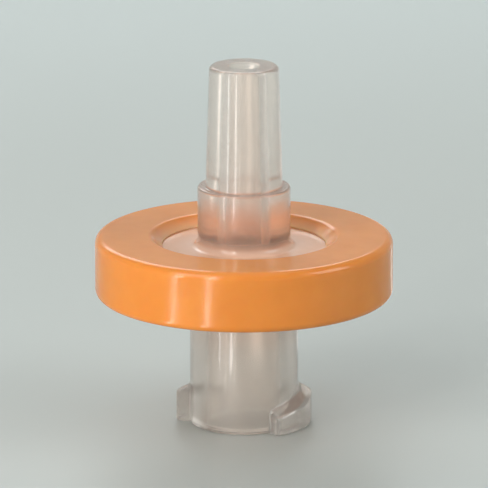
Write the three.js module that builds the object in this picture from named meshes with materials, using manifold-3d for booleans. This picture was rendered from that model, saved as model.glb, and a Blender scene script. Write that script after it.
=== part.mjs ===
// Syringe filter, nominal 13 mm, standing on its female luer inlet.
//
// Millimetres, +Z up. The origin is the centre of the inlet's mouth, and the
// luer axis is +Z: inlet at the bottom, filter disc in the middle, male luer
// outlet on top.
//
// Four mouldings and inserts, as on the real article:
//   inlet_housing    translucent PP: female luer lock, feed hole, spreader ribs
//   membrane         PES filter disc clamped between the two halves
//   outlet_housing   translucent PP: support rings, drain channels, male luer
//   outer_ring       coloured PP moulded round the edges of both halves

import * as THREE from 'three';
import { mergeVertices } from 'three/addons/utils/BufferGeometryUtils.js';
import Module from 'manifold-3d';

const wasm = await Module();
wasm.setup();

// ---------------------------------------------------------------- dimensions

const SEGMENTS = 72;            // facets round a full turn

// Overmoulded ring
const RING_R = 8.5;             // outer radius
const RING_Z0 = 7.5;            // lower face, above the inlet's mouth
const RING_Z1 = 11.0;           // upper face
const RING_EDGE = 0.45;         // rounding of the two outer edges
const RING_OPEN_R = 4.65;       // opening where the lip meets the housing
const RING_LIP_R = 5.35;        // opening at the ring's faces
const RING_LIP_T = 0.12;        // thickness of the lip at its thin edge

// Housing halves, where the ring grips them
const DISC_R = 7.25;            // edge of both discs
const DISC_Z0 = 8.1;            // outer face of the inlet half
const DISC_Z1 = 10.4;           // outer face of the outlet half
const PARTING_Z = 9.25;         // where the two halves meet
const POCKET_R = 6.55;          // seat that centres the membrane
const CHAMBER_R = 5.9;          // wetted radius, inside the clamping land

// Membrane
const MEMBRANE_R = 6.5;         // 13 mm across
const MEMBRANE_T = 0.15;

// Female luer lock inlet: 6 percent taper socket
const LUER_TAPER = 0.03;        // change of radius per millimetre of length
const SOCKET_MOUTH_R = 2.155;   // radius of the socket at its mouth
const SOCKET_CHAMFER = 0.16;
const SOCKET_DEPTH = 7.85;
const INLET_R = 3.1;            // outside of the inlet tube
const INLET_ROUND = 0.12;       // rounding of the mouth's outer edge
const FEED_R = 0.75;            // hole from the socket to the filter chamber
const INLET_FLOOR_Z = 8.85;     // chamber floor in the inlet half

// Luer lugs
const LUG_R = 3.88;             // 7.76 mm across the two lugs
const LUG_HALF_ANGLE = 33 * Math.PI / 180;
const LUG_LOW = 1.15;           // thickness at the leading end
const LUG_LEAD = 5.0;           // thread lead per turn
const LUG_FLANK = Math.tan(25 * Math.PI / 180);

// Spreader ribs in the inlet half
const SPREADER_RIBS = 12;
const SPREADER_W = 0.36;
const SPREADER_R0 = 1.5;
const SPREADER_R1 = 5.5;
const SPREADER_TOP_Z = 9.1;

// Male luer outlet: 6 percent taper
const TIP_Z = 20.9;
const TIP_R = 1.985;            // radius of the taper at the tip
const TIP_ROUND = 0.22;
const BOSS_R = 2.65;            // plain boss at the root
const BOSS_Z = 13.9;            // top of the boss
const BORE_TIP_R = 0.82;        // bore at the tip
const BORE_ROOT_R = 1.02;       // bore at the root, with moulding draft
const OUTLET_FLOOR_Z = 9.72;    // chamber floor in the outlet half

// Support rings and drain channels in the outlet half
const SUPPORT_RINGS = [1.75, 2.75, 3.75, 4.75];
const SUPPORT_W = 0.36;
const SUPPORT_Z = 9.34;         // just clear of the membrane
const CHANNELS = 8;
const CHANNEL_W = 0.5;

// ------------------------------------------------------------------- helpers

// Turns a lathe made about +Y into one about +Z without rounding error.
function yToZ(geometry) {
  const p = geometry.attributes.position;
  for (let i = 0; i < p.count; i++) {
    p.setXYZ(i, p.getX(i), -p.getZ(i), p.getY(i));
  }
  return geometry;
}

// A closed manifold solid from any closed geometry.
function toSolid(geometry) {
  let g = geometry.clone();
  g.deleteAttribute('normal');
  g.deleteAttribute('uv');
  g = mergeVertices(g, 1e-5);
  const p = g.attributes.position.array;
  const index = g.index.array;
  const kept = [];
  let volume = 0;
  for (let i = 0; i < index.length; i += 3) {
    const [a, b, c] = [index[i], index[i + 1], index[i + 2]];
    if (a === b || b === c || c === a) continue;
    kept.push(a, b, c);
    const [ax, ay, az] = [p[3 * a], p[3 * a + 1], p[3 * a + 2]];
    const [bx, by, bz] = [p[3 * b], p[3 * b + 1], p[3 * b + 2]];
    const [cx, cy, cz] = [p[3 * c], p[3 * c + 1], p[3 * c + 2]];
    volume += ax * (by * cz - bz * cy) + ay * (bz * cx - bx * cz)
      + az * (bx * cy - by * cx);
  }
  if (volume < 0) {
    for (let i = 0; i < kept.length; i += 3) {
      [kept[i + 1], kept[i + 2]] = [kept[i + 2], kept[i + 1]];
    }
  }
  return new wasm.Manifold(new wasm.Mesh({
    numProp: 3,
    vertProperties: new Float32Array(p),
    triVerts: new Uint32Array(kept),
  }));
}

function toGeometry(solid) {
  const mesh = solid.getMesh();
  const positions = new Float32Array(mesh.numVert * 3);
  for (let i = 0; i < mesh.numVert; i++) {
    for (let k = 0; k < 3; k++) {
      positions[3 * i + k] = mesh.vertProperties[i * mesh.numProp + k];
    }
  }
  const geometry = new THREE.BufferGeometry();
  geometry.setAttribute('position', new THREE.BufferAttribute(positions, 3));
  geometry.setIndex(new THREE.BufferAttribute(new Uint32Array(mesh.triVerts), 1));
  geometry.computeVertexNormals();
  return geometry;
}

// A solid of revolution about +Z from a list of [radius, height].
function turned(profile) {
  const points = profile.map(([r, z]) => new THREE.Vector2(r, z));
  return yToZ(new THREE.LatheGeometry(points, SEGMENTS));
}

// Points along an arc of a profile, from one angle to another in degrees.
function round(cr, cz, radius, from, to, steps) {
  const points = [];
  for (let i = 0; i <= steps; i++) {
    const a = (from + (to - from) * i / steps) * Math.PI / 180;
    points.push([cr + radius * Math.cos(a), cz + radius * Math.sin(a)]);
  }
  return points;
}

function named(name, geometry, material) {
  const mesh = new THREE.Mesh(geometry, material);
  mesh.name = name;
  return mesh;
}

// ----------------------------------------------------------------- materials

const naturalPP = () => new THREE.MeshStandardMaterial({
  color: 0xdedad2, roughness: 0.3, metalness: 0, transparent: true, opacity: 0.6,
});
const apricotPP = new THREE.MeshStandardMaterial({
  color: 0xe88a3c, roughness: 0.28, metalness: 0,
});
const whitePES = new THREE.MeshStandardMaterial({
  color: 0xf4f3ee, roughness: 0.85, metalness: 0,
});

// ---------------------------------------------------------------- outer ring

const ringProfile = [
  [RING_OPEN_R, DISC_Z0],
  [RING_OPEN_R, DISC_Z0 - RING_LIP_T],
  [RING_LIP_R - 0.08, RING_Z0 + 0.03],
  [RING_LIP_R, RING_Z0],
  ...round(RING_R - RING_EDGE, RING_Z0 + RING_EDGE, RING_EDGE, -90, 0, 5),
  ...round(RING_R - RING_EDGE, RING_Z1 - RING_EDGE, RING_EDGE, 0, 90, 5),
  [RING_LIP_R, RING_Z1],
  [RING_LIP_R - 0.08, RING_Z1 - 0.03],
  [RING_OPEN_R, DISC_Z1 + RING_LIP_T],
  [RING_OPEN_R, DISC_Z1],
  [DISC_R, DISC_Z1],
  [DISC_R, DISC_Z0],
  [RING_OPEN_R, DISC_Z0],
];
const ring = toSolid(turned(ringProfile));

// ------------------------------------------------------------- inlet housing

const membraneLow = PARTING_Z - MEMBRANE_T / 2;
const membraneHigh = PARTING_Z + MEMBRANE_T / 2;
const socketR = (z) => SOCKET_MOUTH_R - LUER_TAPER * z;

const inletProfile = [
  [SOCKET_MOUTH_R + SOCKET_CHAMFER, 0],
  ...round(INLET_R - INLET_ROUND, INLET_ROUND, INLET_ROUND, -90, 0, 2),
  [INLET_R, DISC_Z0 - 0.4],
  ...round(INLET_R + 0.4, DISC_Z0 - 0.4, 0.4, 180, 90, 3).slice(1),
  [DISC_R, DISC_Z0],
  [DISC_R, PARTING_Z],
  [POCKET_R, PARTING_Z],
  [POCKET_R, membraneLow],
  [CHAMBER_R, membraneLow],
  [CHAMBER_R - 0.12, INLET_FLOOR_Z],
  [FEED_R + 0.25, INLET_FLOOR_Z],
  [FEED_R, INLET_FLOOR_Z - 0.25],
  [FEED_R, SOCKET_DEPTH + 0.12],
  [socketR(SOCKET_DEPTH) - 0.45, SOCKET_DEPTH],
  [socketR(SOCKET_DEPTH), SOCKET_DEPTH - 0.3],
  [socketR(SOCKET_CHAMFER), SOCKET_CHAMFER],
  [SOCKET_MOUTH_R + SOCKET_CHAMFER, 0],
];
let inlet = toSolid(turned(inletProfile));

// One luer lug: a sector of the rim whose upper face climbs like a thread.
function lug() {
  const steps = 10;
  const inner = INLET_R - 0.35;
  const shape = new THREE.Shape();
  for (let i = 0; i <= steps; i++) {
    const a = -LUG_HALF_ANGLE + 2 * LUG_HALF_ANGLE * i / steps;
    const point = [LUG_R * Math.cos(a), LUG_R * Math.sin(a)];
    if (i === 0) shape.moveTo(...point); else shape.lineTo(...point);
  }
  for (let i = steps; i >= 0; i--) {
    const a = -LUG_HALF_ANGLE + 2 * LUG_HALF_ANGLE * i / steps;
    shape.lineTo(inner * Math.cos(a), inner * Math.sin(a));
  }
  shape.closePath();
  const geometry = new THREE.ExtrudeGeometry(shape, {
    depth: 1, steps: 1, bevelEnabled: false,
  });
  const p = geometry.attributes.position;
  for (let i = 0; i < p.count; i++) {
    if (p.getZ(i) < 0.5) continue;
    const x = p.getX(i);
    const y = p.getY(i);
    const turn = (Math.atan2(y, x) + LUG_HALF_ANGLE) / (2 * Math.PI);
    const out = Math.hypot(x, y) - INLET_R;
    p.setZ(i, LUG_LOW + LUG_LEAD * turn + (0.45 - out) * LUG_FLANK);
  }
  return toSolid(geometry);
}
const lugSolid = lug();
inlet = inlet.add(lugSolid).add(lugSolid.rotate([0, 0, 180]));

// Spreader ribs on the chamber floor.
for (let i = 0; i < SPREADER_RIBS; i++) {
  const length = SPREADER_R1 - SPREADER_R0;
  const height = SPREADER_TOP_Z - INLET_FLOOR_Z + 0.1;
  const rib = new THREE.BoxGeometry(length, SPREADER_W, height);
  rib.translate(SPREADER_R0 + length / 2, 0, SPREADER_TOP_Z - height / 2);
  rib.rotateZ((i + 0.5) * 2 * Math.PI / SPREADER_RIBS);
  inlet = inlet.add(toSolid(rib));
}

// ------------------------------------------------------------ outlet housing

const taperR = (z) => TIP_R + LUER_TAPER * (TIP_Z - z);
const supports = [];
for (const r of SUPPORT_RINGS) {
  supports.push([r - SUPPORT_W / 2, OUTLET_FLOOR_Z], [r - SUPPORT_W / 2, SUPPORT_Z],
    [r + SUPPORT_W / 2, SUPPORT_Z], [r + SUPPORT_W / 2, OUTLET_FLOOR_Z]);
}
const outletProfile = [
  [DISC_R, PARTING_Z],
  [DISC_R, DISC_Z1],
  [BOSS_R + 0.4, DISC_Z1],
  ...round(BOSS_R + 0.4, DISC_Z1 + 0.4, 0.4, -90, -180, 3).slice(1),
  [BOSS_R, BOSS_Z - 0.12],
  [BOSS_R - 0.12, BOSS_Z],
  [taperR(BOSS_Z), BOSS_Z],
  ...round(taperR(TIP_Z) - TIP_ROUND, TIP_Z - TIP_ROUND, TIP_ROUND, 0, 90, 3),
  [BORE_TIP_R + 0.1, TIP_Z],
  [BORE_TIP_R, TIP_Z - 0.12],
  [BORE_ROOT_R, DISC_Z1],
  [BORE_ROOT_R + 0.28, OUTLET_FLOOR_Z],
  ...supports,
  [CHAMBER_R - 0.12, OUTLET_FLOOR_Z],
  [CHAMBER_R, membraneHigh],
  [POCKET_R, membraneHigh],
  [POCKET_R, PARTING_Z],
  [DISC_R, PARTING_Z],
];
let outlet = toSolid(turned(outletProfile));

// Drain channels through the support rings.
for (let i = 0; i < CHANNELS; i++) {
  const length = 4.2;
  const channel = new THREE.BoxGeometry(length, CHANNEL_W, 1);
  channel.translate(1.1 + length / 2, 0, OUTLET_FLOOR_Z - 0.5);
  channel.rotateZ((i + 0.5) * 2 * Math.PI / CHANNELS);
  outlet = outlet.subtract(toSolid(channel));
}

// ------------------------------------------------------------------ membrane

const membrane = toSolid(turned([
  [0, membraneLow],
  [MEMBRANE_R, membraneLow],
  [MEMBRANE_R, membraneHigh],
  [0, membraneHigh],
]));

// ------------------------------------------------------------------ assembly

const filter = new THREE.Group();
filter.name = 'syringe_filter';
filter.add(
  named('inlet_housing', toGeometry(inlet), naturalPP()),
  named('membrane', toGeometry(membrane), whitePES),
  named('outlet_housing', toGeometry(outlet), naturalPP()),
  named('outer_ring', toGeometry(ring), apricotPP),
);

export default filter;
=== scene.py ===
import math

import bmesh
import bpy
import numpy as np
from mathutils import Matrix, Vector


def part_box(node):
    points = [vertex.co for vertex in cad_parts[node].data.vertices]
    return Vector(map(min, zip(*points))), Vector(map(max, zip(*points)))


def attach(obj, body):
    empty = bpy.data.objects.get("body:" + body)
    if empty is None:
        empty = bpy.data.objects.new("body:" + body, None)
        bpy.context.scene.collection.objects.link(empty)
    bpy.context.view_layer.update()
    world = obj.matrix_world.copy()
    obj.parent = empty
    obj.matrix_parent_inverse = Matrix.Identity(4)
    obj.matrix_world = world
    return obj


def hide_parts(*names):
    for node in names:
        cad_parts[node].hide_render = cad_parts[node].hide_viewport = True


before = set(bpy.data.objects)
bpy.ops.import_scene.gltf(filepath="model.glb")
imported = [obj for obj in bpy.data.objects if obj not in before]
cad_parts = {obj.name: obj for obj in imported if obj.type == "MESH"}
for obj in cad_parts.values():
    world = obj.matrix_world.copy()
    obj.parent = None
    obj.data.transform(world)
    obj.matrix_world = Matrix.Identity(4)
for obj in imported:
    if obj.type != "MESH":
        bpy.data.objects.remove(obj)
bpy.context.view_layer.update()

MM = 0.001

# ----------------------------------------------------------------------------
# Sizes in millimetres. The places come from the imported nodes; what no box can
# give (bores, tapers, fillets) repeats the part's own driving dimensions.
# ----------------------------------------------------------------------------


def mm_box(node):
    lo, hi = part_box(node)
    return [c / MM for c in lo], [c / MM for c in hi]


ring_lo, ring_hi = mm_box("outer_ring")
inlet_lo, inlet_hi = mm_box("inlet_housing")
outlet_lo, outlet_hi = mm_box("outlet_housing")
mem_lo, mem_hi = mm_box("membrane")

RING_R = ring_hi[0]
RING_Z0, RING_Z1 = ring_lo[2], ring_hi[2]
RING_EDGE = 0.45
RING_OPEN_R = 4.65
RING_LIP_R = 5.35
RING_LIP_T = 0.08     # the thin edge of the lip, once its corner is rounded

DISC_R = inlet_hi[0]
DISC_Z0, DISC_Z1 = RING_Z0 + 0.6, RING_Z1 - 0.6
PARTING_Z = inlet_hi[2]
POCKET_R, CHAMBER_R = 6.55, 5.9

MOUTH_Z = inlet_lo[2]
INLET_R = 3.1
SOCKET_R, SOCKET_DEPTH, FEED_R = 2.155, 7.85, 0.75
INLET_FLOOR_Z = 8.85
LUG_R = 3.88
LUG_HALF = math.radians(33)
LUG_LOW, LUG_LEAD, FLANK = 1.15, 5.0, math.tan(math.radians(25))

TIP_Z, TIP_R = outlet_hi[2], 1.985
BOSS_R, BOSS_Z = 2.65, 13.9
BORE_TIP_R, BORE_ROOT_R = 0.82, 1.02
OUTLET_FLOOR_Z = 9.72

MEM_R, MEM_Z0, MEM_Z1 = mem_hi[0], mem_lo[2], mem_hi[2]
WELD = 0.012          # how far the moulded ring runs into the housings, so the plastics are in contact

# ----------------------------------------------------------------------------
# Mesh helpers
# ----------------------------------------------------------------------------


def rounded(points, closed=True, step=9.0, support=0.035):
    """A profile with a fillet at each corner. points are (r, z, fillet radius). Gives (r, z) pairs, with a support point just past each fillet."""
    n = len(points)
    out = []
    for i in range(n):
        p = np.array(points[i][:2], float)
        rad = points[i][2] if len(points[i]) > 2 else 0.0
        if not closed and i in (0, n - 1):
            out.append(tuple(p))
            continue
        a = np.array(points[(i - 1) % n][:2], float) - p
        b = np.array(points[(i + 1) % n][:2], float) - p
        la, lb = np.linalg.norm(a), np.linalg.norm(b)
        a, b = a / la, b / lb
        cos = float(np.clip(a @ b, -1, 1))
        inner = math.acos(cos)
        turn = math.pi - inner
        if rad <= 0 or turn < 0.02:
            out.append(tuple(p))
            continue
        reach = rad * math.tan(turn / 2)
        limit = 0.47 * min(la, lb)
        if reach > limit:
            rad *= limit / reach
            reach = limit
        centre_dir = (a + b) / np.linalg.norm(a + b)
        centre = p + centre_dir * (rad / math.sin(inner / 2))
        start, end = p + a * reach, p + b * reach
        steps = max(2, int(math.ceil(math.degrees(turn) / step)))
        s = min(support, (la - reach) * 0.2)
        if s > 0.004:
            out.append(tuple(start + a * s))
        v0, v1 = start - centre, end - centre
        ang0 = math.atan2(v0[1], v0[0])
        delta = math.atan2(v0[0] * v1[1] - v0[1] * v1[0], float(v0 @ v1))
        for k in range(steps + 1):
            t = ang0 + delta * k / steps
            out.append((centre[0] + rad * math.cos(t), centre[1] + rad * math.sin(t)))
        s = min(support, (lb - reach) * 0.2)
        if s > 0.004:
            out.append(tuple(end + b * s))
    return out


def grid_solid(name, rows, thetas, closed=True):
    """A closed mesh from rows of (radius, height), one pair or one per column, turned about Z. A row at radius 0 becomes one point."""
    cols = len(thetas)
    c, s = np.cos(thetas), np.sin(thetas)
    verts, index = [], []
    for r, z in rows:
        r = np.broadcast_to(np.asarray(r, float), (cols,))
        z = np.broadcast_to(np.asarray(z, float), (cols,))
        if np.all(np.abs(r) < 1e-9):
            index.append([len(verts)] * cols)
            verts.append((0.0, 0.0, float(z[0])))
        else:
            base = len(verts)
            index.append(list(range(base, base + cols)))
            verts.extend(zip(r * c, r * s, z))
    faces = []
    count = len(rows) if closed else len(rows) - 1
    for i in range(count):
        a, b = index[i], index[(i + 1) % len(rows)]
        for j in range(cols):
            k = (j + 1) % cols
            face = []
            for v in (a[j], a[k], b[k], b[j]):
                if v not in face:
                    face.append(v)
            if len(face) > 2:
                faces.append(face)
    v = np.array(verts, float)
    tri = np.array([(f[0], f[m], f[m + 1]) for f in faces for m in range(1, len(f) - 1)])
    volume = np.einsum("ij,ij->i", v[tri[:, 0]], np.cross(v[tri[:, 1]], v[tri[:, 2]])).sum()
    if volume < 0:
        faces = [f[::-1] for f in faces]
    mesh = bpy.data.meshes.new(name)
    mesh.from_pydata((v * MM).tolist(), [], faces)
    mesh.update()
    obj = bpy.data.objects.new(name, mesh)
    bpy.context.scene.collection.objects.link(obj)
    return obj


def boolean(obj, cutter, operation):
    mod = obj.modifiers.new("bool", "BOOLEAN")
    mod.operation = operation
    mod.solver = "EXACT"
    mod.object = cutter
    bpy.context.view_layer.update()
    dg = bpy.context.evaluated_depsgraph_get()
    mesh = bpy.data.meshes.new_from_object(obj.evaluated_get(dg))
    bm = bmesh.new()
    bm.from_mesh(mesh)
    bmesh.ops.remove_doubles(bm, verts=bm.verts, dist=0.0001 * MM)
    bm.to_mesh(mesh)
    bm.free()
    obj.modifiers.clear()
    old, obj.data = obj.data, mesh
    bpy.data.meshes.remove(old)
    data = cutter.data
    bpy.data.objects.remove(cutter)
    bpy.data.meshes.remove(data)
    return obj


def bars(count, x0, x1, width, z0, z1, chamfer=0.0):
    """Straight ribs or channels along the radii, spread evenly round the axis, with small chamfers on their upper edges."""
    h = width / 2
    b = chamfer
    section = [(-h, z0), (h, z0), (h, z1 - b), (h - b, z1), (-h + b, z1), (-h, z1 - b)]
    if b == 0:
        section = [(-h, z0), (h, z0), (h, z1), (-h, z1)]
    n = len(section)
    verts, faces = [], []
    for i in range(count):
        turn = (i + 0.5) * 2 * math.pi / count
        c, s = math.cos(turn), math.sin(turn)
        base = len(verts)
        for x in (x0, x1):
            verts += [((x * c - y * s) * MM, (x * s + y * c) * MM, z * MM) for y, z in section]
        faces += [[base + j, base + n + j, base + n + (j + 1) % n, base + (j + 1) % n] for j in range(n)]
        faces += [[base + j for j in range(n)], [base + n + j for j in range(n)][::-1]]
    mesh = bpy.data.meshes.new("cutter")
    mesh.from_pydata(verts, [], faces)
    v = np.array(verts)
    tri = np.array([(f[0], f[m], f[m + 1]) for f in faces for m in range(1, len(f) - 1)])
    if np.einsum("ij,ij->i", v[tri[:, 0]], np.cross(v[tri[:, 1]], v[tri[:, 2]])).sum() < 0:
        mesh.flip_normals()
    mesh.update()
    obj = bpy.data.objects.new("cutter", mesh)
    bpy.context.scene.collection.objects.link(obj)
    return obj


def shade(obj, angle=40):
    obj.data.polygons.foreach_set("use_smooth", [True] * len(obj.data.polygons))
    if angle:
        obj.data.set_sharp_from_angle(angle=math.radians(angle))
    obj.data.update()


def columns(base, dense):
    """Angles round a turn: an even spread, plus finer steps round each (centre, half width, step), all in degrees."""
    angles = set(np.round(np.arange(0, 360, 360 / base), 4))
    for centre, half, step in dense:
        angles = {a for a in angles if abs((a - centre + 180) % 360 - 180) > half}
        for a in np.arange(centre - half, centre + half + step / 2, step):
            angles.add(round(float(a) % 360, 4))
    return np.radians(np.array(sorted(angles)))


def smax(a, b, k):
    h = np.maximum(k - np.abs(a - b), 0) / k
    return np.maximum(a, b) + h * h * k / 4


def smin(a, b, k):
    return -smax(-a, -b, k)


def falloff(x, edge, width):
    """1 well below the edge and 0 well above it."""
    return 0.5 - 0.5 * np.tanh((x - edge) / (2 * width))


# ----------------------------------------------------------------------------
# Inlet half: female luer lock, lugs, socket, spreader ribs
# ----------------------------------------------------------------------------

lug_ends = [33, -33, 180 + 33, 180 - 33]
inlet_cols = columns(144, [(a, 4.2, 0.22) for a in lug_ends] + [(90, 1.4, 0.28), (270, 1.4, 0.28)])


def wrap(angle):
    return (angle + math.pi) % (2 * math.pi) - math.pi


def inlet_field(rho, theta, z):
    """Below zero inside the inlet stub: the tube joined to both lugs, with moulded roundings."""
    tube = rho - INLET_R
    best = None
    for centre in (0.0, math.pi):
        off = wrap(theta - centre)
        top = LUG_LOW + LUG_LEAD * (off + LUG_HALF) / (2 * math.pi) + (0.45 - (rho - INLET_R)) * FLANK
        d_r = rho - LUG_R
        d_a = (np.abs(off) - LUG_HALF) * 3.5 + 0.13 * (rho - INLET_R)
        d_z = (z - MOUTH_Z - top) * math.cos(math.radians(25))
        lug = smax(smax(d_r, d_a, 0.2), d_z, 0.2)
        best = lug if best is None else np.minimum(best, lug)
    return smin(tube, best, 0.16)


def inlet_radius(z):
    """Outside radius of the inlet stub at height z, one for each column."""
    lo = np.full(inlet_cols.shape, INLET_R - 0.6)
    hi = np.full(inlet_cols.shape, LUG_R + 0.4)
    for _ in range(40):
        mid = (lo + hi) / 2
        inside = inlet_field(mid, inlet_cols, z) < 0
        lo, hi = np.where(inside, mid, lo), np.where(inside, hi, mid)
    r = (lo + hi) / 2
    # the faint witness lines where the two slides of the mould met, a quarter turn from the lugs
    for seam in (math.pi / 2, -math.pi / 2):
        off = wrap(inlet_cols - seam) * INLET_R
        r = r + 0.012 * np.exp(-(off / 0.03) ** 2)
    return r


edge = 0.12
inlet_rows = []
mouth_rows = [0, 0.008, 0.025, 0.05, 0.085, 0.12]
lug_rows = list(np.arange(0.17, 2.8, 0.045))
tube_rows = [2.86, 3.2, 4.0, 5.0, 6.0, 6.8, 7.3]
first = inlet_radius(edge) - edge
inner_edge = SOCKET_R + 0.16
for t in (0.12, 0.5, 0.9):
    inlet_rows.append((inner_edge + (first - inner_edge) * t, MOUTH_Z))
for z in mouth_rows:
    drop = edge * (1 - math.sqrt(max(0.0, 1 - (1 - z / edge) ** 2)))
    inlet_rows.append((inlet_radius(max(z, 0.02)) - drop, MOUTH_Z + z))
for z in lug_rows + tube_rows:
    inlet_rows.append((inlet_radius(z), MOUTH_Z + z))
last = 7.3
rest = rounded([
    (INLET_R, MOUTH_Z + last, 0),
    (INLET_R, DISC_Z0, 0.38),
    (DISC_R, DISC_Z0, 0.05),
    (DISC_R, PARTING_Z, 0.03),
    (POCKET_R, PARTING_Z, 0.02),
    (POCKET_R, MEM_Z0, 0.02),
    (CHAMBER_R, MEM_Z0, 0.04),
    (CHAMBER_R - 0.12, INLET_FLOOR_Z, 0.1),
    (FEED_R + 0.25, INLET_FLOOR_Z, 0.1),
    (FEED_R, INLET_FLOOR_Z - 0.25, 0.1),
    (FEED_R, SOCKET_DEPTH + 0.12, 0.08),
    (SOCKET_R - 0.03 * SOCKET_DEPTH - 0.45, SOCKET_DEPTH, 0.2),
    (SOCKET_R - 0.03 * SOCKET_DEPTH, SOCKET_DEPTH - 0.3, 0.25),
    (SOCKET_R, 0.16, 0.1),
    (SOCKET_R + 0.16, MOUTH_Z, 0.0),
], closed=False)
inlet_rows += [(r, z) for r, z in rest[1:-1]]
inlet_rows.append((inner_edge - 0.04, MOUTH_Z + 0.04))
inlet_rows.append((inner_edge - 0.012, MOUTH_Z + 0.006))
inlet = grid_solid("inlet_moulding", inlet_rows, inlet_cols)
boolean(inlet, bars(12, 1.5, 5.5, 0.36, INLET_FLOOR_Z - 0.1, 9.1, 0.06), "UNION")
shade(inlet)

# ----------------------------------------------------------------------------
# Outlet half: support rings, drain channels, male luer
# ----------------------------------------------------------------------------

outlet_cols = columns(192, [])
supports = []
for r in (1.75, 2.75, 3.75, 4.75):
    supports += [(r - 0.18, OUTLET_FLOOR_Z, 0.04), (r - 0.18, 9.34, 0.05),
                 (r + 0.18, 9.34, 0.05), (r + 0.18, OUTLET_FLOOR_Z, 0.04)]
taper = lambda z: TIP_R + 0.03 * (TIP_Z - z)
profile = rounded([
    (DISC_R, PARTING_Z, 0.03),
    (DISC_R, DISC_Z1, 0.05),
    (BOSS_R, DISC_Z1, 0.38),
    (BOSS_R, BOSS_Z, 0.13),
    (taper(BOSS_Z), BOSS_Z, 0.12),
    (taper(17.5), 17.5, 0),
    (TIP_R, TIP_Z, 0.24),
    (BORE_TIP_R + 0.1, TIP_Z, 0.05),
    (BORE_TIP_R, TIP_Z - 0.12, 0.08),
    (BORE_ROOT_R, DISC_Z1, 0.3),
    (BORE_ROOT_R + 0.28, OUTLET_FLOOR_Z, 0.1),
    *supports,
    (CHAMBER_R - 0.12, OUTLET_FLOOR_Z, 0.1),
    (CHAMBER_R, MEM_Z1, 0.04),
    (POCKET_R, MEM_Z1, 0.02),
    (POCKET_R, PARTING_Z, 0.02),
])
outlet = grid_solid("outlet_moulding", profile, outlet_cols)
boolean(outlet, bars(8, 1.1, 5.3, 0.5, 8.7, OUTLET_FLOOR_Z), "DIFFERENCE")
shade(outlet)

# ----------------------------------------------------------------------------
# Apricot ring, moulded round both halves
# ----------------------------------------------------------------------------

GATE = 152.0                      # where the ring's gate was, in degrees
ring_cols = columns(240, [(GATE, 5.0, 0.18)])
w = WELD
ring_profile = rounded([
    (RING_OPEN_R, DISC_Z0 + w, 0.02),
    (RING_OPEN_R, DISC_Z0 - RING_LIP_T, 0.12),
    (RING_LIP_R, RING_Z0, 0.4),
    (RING_R, RING_Z0, RING_EDGE),
    (RING_R, RING_Z1, RING_EDGE),
    (RING_LIP_R, RING_Z1, 0.4),
    (RING_OPEN_R, DISC_Z1 + RING_LIP_T, 0.12),
    (RING_OPEN_R, DISC_Z1 - w, 0.02),
    (DISC_R - w, DISC_Z1 - w, 0.02),
    (DISC_R - w, DISC_Z0 + w, 0.02),
], step=6.0)
# extra rows on the rim, for the parting line and the gate
rows, prev = [], None
for r, z in ring_profile:
    if prev and prev[0] > RING_R - 0.01 and r > RING_R - 0.01 and z - prev[1] > 0.5:
        n = int((z - prev[1]) / 0.06)
        for i in range(1, n):
            rows.append((RING_R, prev[1] + (z - prev[1]) * i / n))
    rows.append((r, z))
    prev = (r, z)
rim_rows = []
mid = (RING_Z0 + RING_Z1) / 2
gate_off = wrap(ring_cols - math.radians(GATE)) * RING_R
for r, z in rows:
    rr = np.full(ring_cols.shape, r)
    if r > RING_R - 0.02:
        # the gate: a shallow round sink with the stub of the cut sprue standing in it
        d = np.hypot(gate_off, z - mid)
        sink = 0.10 * falloff(d, 0.62, 0.035)
        stub = (0.085 + 0.03 * (z - mid)) * falloff(d, 0.27, 0.018)
        rr = rr - sink + stub
    rim_rows.append((rr, z))
ring = grid_solid("ring_moulding", rim_rows, ring_cols)
shade(ring)

# ----------------------------------------------------------------------------
# Membrane
# ----------------------------------------------------------------------------

mem_cols = columns(120, [])
radii = np.linspace(0, MEM_R - 0.02, 30)
press = lambda r: 0.012 * np.cos(2 * math.pi * (r - 1.75)) * np.exp(-((r - 3.2) / 2.4) ** 4)
mem_rows = [(r, MEM_Z0 + press(r) * 0.5 + 0.006) for r in radii]
mem_rows += [(MEM_R, MEM_Z0 + 0.03), (MEM_R, MEM_Z1 - 0.03)]
mem_rows += [(r, MEM_Z1 + press(r) * 0.5 - 0.006) for r in radii[::-1]]
membrane = grid_solid("membrane_disc", mem_rows, mem_cols, closed=False)
shade(membrane)

# ----------------------------------------------------------------------------
# Materials
# ----------------------------------------------------------------------------


def srgb(r, g, b):
    def lin(c):
        c /= 255
        return c / 12.92 if c <= 0.04045 else ((c + 0.055) / 1.055) ** 2.4
    return (lin(r), lin(g), lin(b), 1.0)


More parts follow.
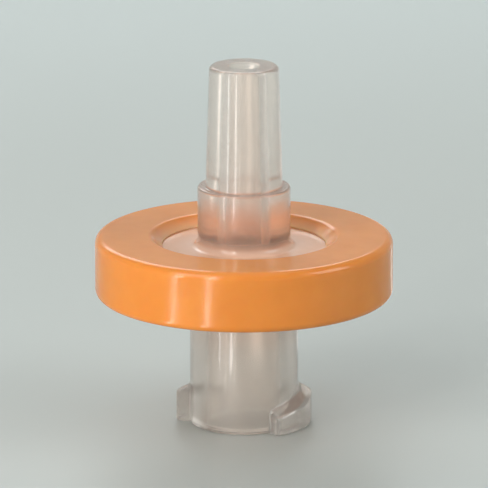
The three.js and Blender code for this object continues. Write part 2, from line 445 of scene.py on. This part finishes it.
class Nodes:
    """A small helper to write a node tree."""

    def __init__(self, name):
        self.mat = bpy.data.materials.new(name)
        self.mat.use_nodes = True
        self.tree = self.mat.node_tree
        self.tree.nodes.clear()
        self.out = self.add("ShaderNodeOutputMaterial")
        self.coords = self.add("ShaderNodeTexCoord")
        self.mm = self.add("ShaderNodeMapping")
        self.mm.inputs["Scale"].default_value = (1000, 1000, 1000)
        self.link(self.coords.outputs["Object"], self.mm.inputs["Vector"])

    def add(self, kind, **values):
        node = self.tree.nodes.new(kind)
        for key, value in values.items():
            setattr(node, key, value)
        return node

    def link(self, a, b):
        self.tree.links.new(a, b)

    def noise(self, scale, detail=2.0, rough=0.5, stretch=None):
        n = self.add("ShaderNodeTexNoise")
        n.inputs["Scale"].default_value = scale
        n.inputs["Detail"].default_value = detail
        n.inputs["Roughness"].default_value = rough
        if stretch:
            m = self.add("ShaderNodeMapping")
            m.inputs["Scale"].default_value = stretch
            self.link(self.mm.outputs["Vector"], m.inputs["Vector"])
            self.link(m.outputs["Vector"], n.inputs["Vector"])
        else:
            self.link(self.mm.outputs["Vector"], n.inputs["Vector"])
        return n.outputs["Fac"]

    def ramp(self, source, stops):
        n = self.add("ShaderNodeValToRGB")
        el = n.color_ramp.elements
        while len(el) < len(stops):
            el.new(0.5)
        for e, (pos, colour) in zip(el, stops):
            e.position = pos
            e.color = colour
        self.link(source, n.inputs["Fac"])
        return n.outputs["Color"]

    def span(self, source, a, b, lo=0.3, hi=0.7):
        n = self.add("ShaderNodeMapRange")
        n.inputs["From Min"].default_value = lo
        n.inputs["From Max"].default_value = hi
        n.inputs["To Min"].default_value = a
        n.inputs["To Max"].default_value = b
        self.link(source, n.inputs["Value"])
        return n.outputs["Result"]

    def axis_distance(self):
        """Distance from the luer axis in millimetres."""
        flat = self.add("ShaderNodeVectorMath", operation="MULTIPLY")
        flat.inputs[1].default_value = (1, 1, 0)
        self.link(self.mm.outputs["Vector"], flat.inputs[0])
        length = self.add("ShaderNodeVectorMath", operation="LENGTH")
        self.link(flat.outputs["Vector"], length.inputs[0])
        return length.outputs["Value"]

    def height(self):
        split = self.add("ShaderNodeSeparateXYZ")
        self.link(self.mm.outputs["Vector"], split.inputs["Vector"])
        return split.outputs["Z"]

    def distance(self, point):
        """Distance from a point given in millimetres."""
        n = self.add("ShaderNodeVectorMath", operation="DISTANCE")
        n.inputs[1].default_value = point
        self.link(self.mm.outputs["Vector"], n.inputs[0])
        return n.outputs["Value"]

    def smooth(self, source, start, end):
        """0 at start, 1 at end, smooth between."""
        n = self.add("ShaderNodeMapRange", interpolation_type="SMOOTHSTEP")
        n.inputs["From Min"].default_value = start
        n.inputs["From Max"].default_value = end
        self.link(source, n.inputs["Value"])
        return n.outputs["Result"]

    def mix(self, factor, a, b):
        n = self.add("ShaderNodeMix", data_type="RGBA")
        self.link(factor, n.inputs["Factor"])
        for socket, v in ((n.inputs[6], a), (n.inputs[7], b)):
            if isinstance(v, tuple):
                socket.default_value = v
            else:
                self.link(v, socket)
        return n.outputs[2]

    def maths(self, op, a, b=0.0):
        n = self.add("ShaderNodeMath", operation=op)
        for i, v in enumerate((a, b)):
            if isinstance(v, (int, float)):
                n.inputs[i].default_value = v
            else:
                self.link(v, n.inputs[i])
        return n.outputs[0]

    def bump(self, height, distance, strength=1.0, normal=None):
        n = self.add("ShaderNodeBump")
        n.inputs["Strength"].default_value = strength
        n.inputs["Distance"].default_value = distance
        self.link(height, n.inputs["Height"])
        if normal is not None:
            self.link(normal, n.inputs["Normal"])
        return n.outputs["Normal"]

    def shader(self, **values):
        n = self.add("ShaderNodeBsdfPrincipled")
        for key, value in values.items():
            socket = n.inputs[key.replace("_", " ")]
            if hasattr(value, "links") or isinstance(value, bpy.types.NodeSocket):
                self.link(value, socket)
            else:
                socket.default_value = value
        self.link(n.outputs["BSDF"], self.out.inputs["Surface"])
        return n


def natural_pp(name, tint_a, tint_b):
    """Natural polypropylene, clear in the stubs and milkier in the disc, with painted light in its colour: the orange
    glow of light from the ring is painted in where the plastic runs close to it.
    """
    m = Nodes(name)
    cloud = m.noise(0.55, 3.0, 0.55)
    base = m.ramp(cloud, [(0.3, tint_a), (0.72, tint_b)])
    off = m.maths("ABSOLUTE", m.maths("SUBTRACT", m.height(), (RING_Z0 + RING_Z1) / 2))
    # painted light: the ring's orange glow is painted into the colour near the ring, across the middle of the disc,
    # where it also lightens the shaded disc, and at the roots of the stubs
    disc = m.maths("MULTIPLY", m.smooth(m.axis_distance(), 2.3, 4.8), m.smooth(off, 2.2, 1.3))
    milk_and_glow = m.maths("MULTIPLY", m.smooth(m.axis_distance(), 1.6, 3.1), m.smooth(off, 2.2, 1.2))
    root = m.maths("MULTIPLY", m.smooth(off, 5.5, 1.2), 0.32)
    ring_glow = m.maths("ADD", m.maths("ADD", m.maths("MULTIPLY", disc, 0.32), m.maths("MULTIPLY", milk_and_glow, 0.42)), root)
    base = m.mix(ring_glow, base, RING_GLOW)
    haze = m.noise(2.4, 4.0, 0.6)
    rough = m.span(haze, 0.20, 0.265)
    wave = m.noise(1.1, 1.0, 0.4)
    grain = m.noise(28.0, 2.0, 0.5)
    n1 = m.bump(wave, 0.000012)
    n2 = m.bump(grain, 0.0000012, 0.6, n1)
    clear = m.maths("SUBTRACT", 0.85, m.maths("MULTIPLY", milk_and_glow, 0.52))
    m.shader(Base_Color=base, Roughness=rough, Normal=n2, IOR=1.49,
             Transmission_Weight=clear, Coat_Weight=0.5, Coat_Roughness=0.08, Coat_IOR=1.49)
    return m.mat


# the colour of the painted orange glow of light from the ring
RING_GLOW = srgb(255, 189, 146)
PP_TINTS = (0.95, 0.865, 0.80, 1), (0.98, 0.905, 0.85, 1)
pp_inlet = natural_pp("natural_pp_inlet", *PP_TINTS)
pp_outlet = natural_pp("natural_pp_outlet", *PP_TINTS)

m = Nodes("apricot_ring")
cloud = m.noise(0.35, 3.0, 0.55)
base = m.ramp(cloud, [(0.3, srgb(216, 131, 51)), (0.7, srgb(224, 140, 59))])
# painted light on the lip: the colour is paled towards peach over the whole inward-facing cone, standing in for the
# pale housing seen through the thin edge and lifting the shade that falls on the cone
base = m.mix(m.maths("MULTIPLY", m.smooth(m.axis_distance(), 5.5, 4.6), 0.75), base, srgb(255, 188, 148))
# the cut stub of the sprue, paler and duller where it was nipped off
gate_at = (RING_R * math.cos(math.radians(GATE)), RING_R * math.sin(math.radians(GATE)), mid)
cut = m.smooth(m.distance(gate_at), 0.34, 0.24)
base = m.mix(m.maths("MULTIPLY", cut, 0.32), base, srgb(246, 186, 122))
haze = m.noise(1.8, 4.0, 0.6)
rough = m.maths("ADD", m.span(haze, 0.13, 0.20), m.maths("MULTIPLY", cut, 0.06))
wave = m.noise(0.9, 1.0, 0.4)
grain = m.noise(24.0, 2.0, 0.5)
torn = m.maths("MULTIPLY", m.noise(9.0, 3.0, 0.6), cut)
n1 = m.bump(wave, 0.000011)
n2 = m.bump(grain, 0.0000008, 0.5, n1)
n2 = m.bump(torn, 0.00003, 1.0, n2)
m.shader(Base_Color=base, Roughness=rough, Normal=n2, IOR=1.49,
         Subsurface_Weight=0.6, Subsurface_Radius=(1.0, 0.45, 0.14), Subsurface_Scale=0.0007)
apricot = m.mat

m = Nodes("pes_membrane")
fine = m.noise(14.0, 5.0, 0.65)
base = m.ramp(fine, [(0.3, (0.90, 0.89, 0.87, 1)), (0.7, (0.98, 0.975, 0.96, 1))])
n1 = m.bump(fine, 0.000008)
m.shader(Base_Color=base, Roughness=0.85, Normal=n1, IOR=1.4)
pes = m.mat

for obj, mat, node, slot in (
    (inlet, pp_inlet, "inlet_housing", "natural_pp_inlet"),
    (outlet, pp_outlet, "outlet_housing", "natural_pp_outlet"),
    (ring, apricot, "outer_ring", "apricot_ring"),
    (membrane, pes, "membrane", "membrane"),
):
    obj.data.materials.clear()
    obj.data.materials.append(mat)
    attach(obj, "root")
    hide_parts(node)

# ----------------------------------------------------------------------------
# Stage: a pale bowl of a floor that turns up far from the part on every side
# ----------------------------------------------------------------------------

floor_rows = []
for r in (0, 20, 60, 140, 300, 480):
    floor_rows.append((r, -0.01))
for i in range(1, 17):
    a = math.pi / 2 * i / 16
    floor_rows.append((480 + 320 * math.sin(a), 320 * (1 - math.cos(a)) - 0.01))
floor_rows.append((800, 900))
stage = grid_solid("floor", floor_rows, columns(96, []), closed=False)
shade(stage, 0)
m = Nodes("floor_paint")
patch = m.noise(0.012, 2.0, 0.5)
# painted light: the floor is painted darker near the part and lighter and bluer further out, a brightness gradient
# painted in rather than lit
near = m.ramp(patch, [(0.3, srgb(178, 183, 180)), (0.7, srgb(182, 187, 184))])
far = m.ramp(patch, [(0.3, srgb(195, 203, 202)), (0.7, srgb(199, 207, 206))])
away = m.axis_distance()
base = m.mix(m.smooth(away, 45.0, 130.0), near, far)
# painted light: the upturned wall far from the part is painted paler to make up for the lesser light that reaches it
base = m.mix(m.smooth(away, 250.0, 640.0), base, srgb(228, 232, 229))
m.shader(Base_Color=base, Roughness=0.45)
stage.data.materials.append(m.mat)

# ----------------------------------------------------------------------------
# Light
# ----------------------------------------------------------------------------

AZ, EL, DIST, LENS = 28.0, 15.0, 0.34, 440.0
centre = Vector((0, 0, (MOUTH_Z + TIP_Z) / 2 * MM))


def place(azimuth, elevation, distance, about=centre):
    a, e = math.radians(azimuth), math.radians(elevation)
    return about + distance * Vector((math.sin(a) * math.cos(e), -math.cos(a) * math.cos(e), math.sin(e)))


def area(name, location, size, size_y, power, colour=(1, 1, 1), target=centre):
    data = bpy.data.lights.new(name, "AREA")
    data.shape = "RECTANGLE"
    data.size, data.size_y = size, size_y
    data.energy, data.color = power, colour
    obj = bpy.data.objects.new(name, data)
    bpy.context.scene.collection.objects.link(obj)
    obj.location = location
    obj.rotation_mode = "QUATERNION"
    obj.rotation_quaternion = (target - location).to_track_quat("-Z", "Y")
    obj.visible_camera = False
    return obj


area("key_softbox", place(AZ - 42, 40, 0.60), 0.36, 0.36, 1.05, (1.0, 0.995, 0.985))
area("top_softbox", Vector((0.0, 0.0, 0.62)), 0.55, 0.55, 0.40, (0.98, 1.0, 1.0))
area("strip_a", place(AZ - 25, 14, 0.45), 0.012, 0.30, 0.45, (1.0, 0.98, 0.95))
area("strip_b", place(AZ - 50, 14, 0.45), 0.012, 0.30, 0.45, (1.0, 0.98, 0.95))
area("right_fill", place(AZ + 75, 30, 0.55), 0.30, 0.30, 0.90, (0.97, 0.99, 1.0))
area("back_fill", place(AZ + 190, 38, 0.60), 0.36, 0.36, 0.92, (0.99, 1.0, 1.0))


def table_strip(name, azimuth, near, far, width, radiance):
    """A narrow lamp let into the table, pointing away from the part and shining straight up, so that upright walls show it as a streak."""
    a = math.radians(azimuth)
    out = Vector((math.sin(a), -math.cos(a), 0.0))
    data = bpy.data.lights.new(name, "AREA")
    data.shape = "RECTANGLE"
    data.size, data.size_y = width * MM, (far - near) * MM
    data.energy = radiance * math.pi * data.size * data.size_y
    data.color = (1.0, 0.985, 0.96)
    obj = bpy.data.objects.new(name, data)
    bpy.context.scene.collection.objects.link(obj)
    obj.location = out * (near + far) / 2 * MM + Vector((0, 0, 0.00002))
    obj.rotation_euler = (math.pi, 0.0, a)
    obj.visible_camera = False
    return obj


for tag, turn, radiance in (("a", -25, 11.0), ("b", -50, 11.0), ("c", 172, 1.6), ("d", 149, 1.6)):
    for k, (near, far, width) in enumerate(((16, 60, 1.6), (60, 180, 4.5), (180, 420, 12.0))):
        table_strip(f"table_strip_{tag}{k}", AZ + turn, near, far, width, radiance)

world = bpy.data.worlds.new("studio")
world.use_nodes = True
bg = world.node_tree.nodes["Background"]
bg.inputs["Color"].default_value = (0.93, 0.97, 0.98, 1)
bg.inputs["Strength"].default_value = 0.36
bpy.context.scene.world = world

scene = bpy.context.scene
scene.view_settings.view_transform = "Standard"
scene.view_settings.look = "None"
scene.view_settings.exposure = 0.0

# ----------------------------------------------------------------------------
# Camera
# ----------------------------------------------------------------------------

cam_data = bpy.data.cameras.new("camera")
cam_data.lens = LENS
cam_data.sensor_width = 36
cam_data.clip_start, cam_data.clip_end = 0.01, 20
camera = bpy.data.objects.new("camera", cam_data)
scene.collection.objects.link(camera)
camera.location = place(AZ, EL, DIST)
camera.rotation_mode = "QUATERNION"
camera.rotation_quaternion = (centre - camera.location).to_track_quat("-Z", "Y")
scene.camera = camera
